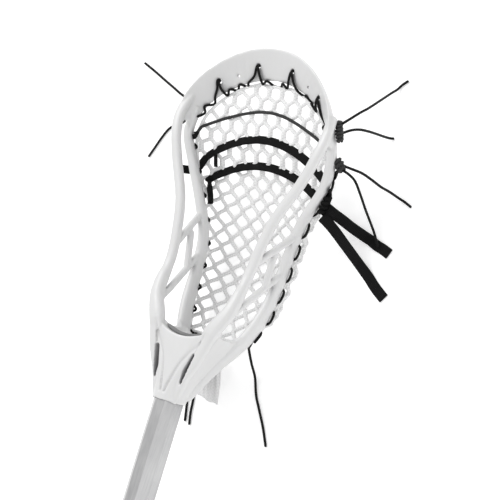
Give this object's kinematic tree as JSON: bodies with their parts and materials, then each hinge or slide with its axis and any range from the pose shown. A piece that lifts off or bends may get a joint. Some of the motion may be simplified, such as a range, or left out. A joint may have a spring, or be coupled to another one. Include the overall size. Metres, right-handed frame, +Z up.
{
  "type": "lacrosse stick",
  "caption": "Lacrosse stick: a moulded white head with a strung mesh pocket, laces and loose string ends, on a hollow octagonal alloy shaft with a rubber butt cap.",
  "frame": {"origin": "on the floor, under the middle of the stick's length, with the stick lying on its back on the lowest part of its pocket and the edge of its butt cap", "axes": "+Y along the stick towards the scoop, +X to the right of the head, +Z up, the way the head's face looks"},
  "size_m": [0.3619, 1.0624, 0.0873],
  "materials": {
    "head_nylon": "satin",
    "foam": "matte",
    "alloy": "satin",
    "rubber": "matte",
    "screw_steel": "satin",
    "mesh_cord": "matte",
    "string": "matte",
    "grey_cord": "matte",
    "lace": "matte"
  },
  "bodies": {
    "stick": {"head_frame": "head_nylon", "head_scoop": "head_nylon", "ball_stop_pad": "foam", "shaft": "alloy", "mesh_pocket": "mesh_cord", "mesh_ramp": "mesh_cord", "mesh_tail": "mesh_cord", "top_string": "string", "left_sidewall_string": "string", "right_sidewall_string": "string", "bottom_string": "string", "shooting_cord": "grey_cord", "upper_lace": "lace", "lower_lace": "lace", "left_top_knot": "string", "left_side_knot": "string", "right_top_knot": "grey_cord", "right_side_knot": "grey_cord", "lace_knot": "lace", "right_end_knot": "string", "left_end_knots": "string", "top_tail_left": "string", "side_tail_left": "string", "top_tail_right": "string", "cord_tail_right": "string", "upper_tail_front": "string", "upper_tail_back": "string", "lace_tail_front": "lace", "lace_tail_back": "lace", "sidewall_tail_right": "string", "bottom_tail_outer": "string", "bottom_tail_inner": "string"},
    "end_cap": {"end_cap": "rubber"},
    "head_screw": {"head_screw": "screw_steel"}
  },
  "joints": [
    {"name": "end_cap_pull", "type": "slide", "parent": "stick", "child": "end_cap", "axis": [0, -0.998, -0.0632], "range_m": [0, 0.034]},
    {"name": "head_screw_turn", "type": "hinge", "parent": "stick", "child": "head_screw", "pos_m": [0, 0.21877, 0.04428], "axis": [0, 0.0632, -0.998], "continuous": true}
  ]
}
